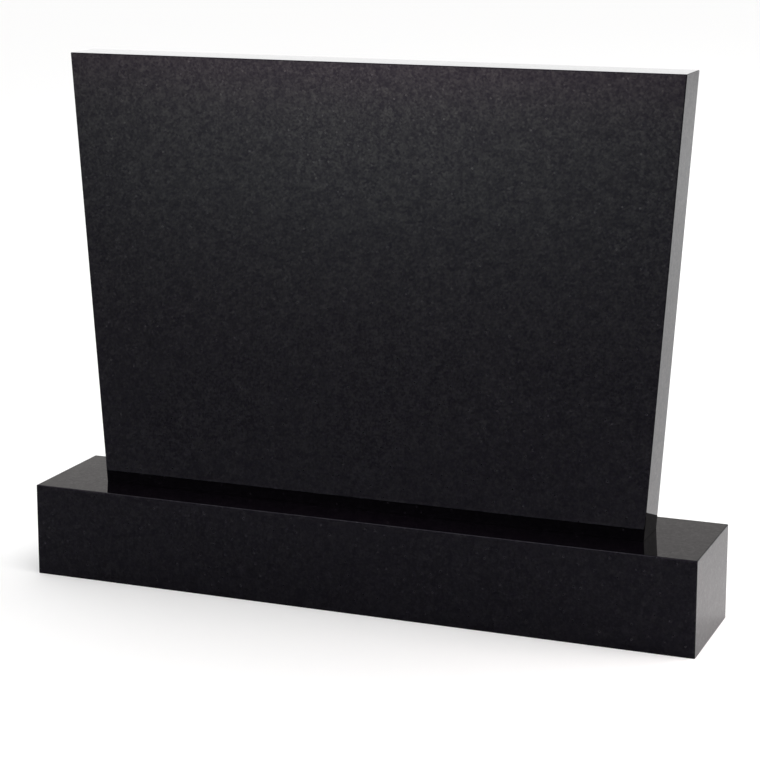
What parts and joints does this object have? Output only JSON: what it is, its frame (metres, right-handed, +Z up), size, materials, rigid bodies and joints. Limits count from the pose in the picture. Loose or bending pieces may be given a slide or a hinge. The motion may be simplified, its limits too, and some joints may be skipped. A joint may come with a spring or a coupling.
{
  "type": "headstone",
  "caption": "Polished black granite headstone: an upright slab, wider at its top than at its foot, on a low rectangular plinth, with a bare face.",
  "frame": {"origin": "on the ground, under the middle of the plinth", "axes": "+X along the plinth to the right as the face is read, +Y from the face to the back, +Z up"},
  "size_m": [1.1, 0.2, 0.8503],
  "materials": {
    "plinth_granite": "mirror-polished near-black fine-grained granite on the top, front, back and ends, with a sawn underside",
    "slab_granite": "mirror-polished near-black fine-grained granite with small paler grains, with a sawn foot"
  },
  "bodies": {
    "root": {"plinth": "plinth_granite", "slab": "slab_granite"}
  },
  "joints": []
}
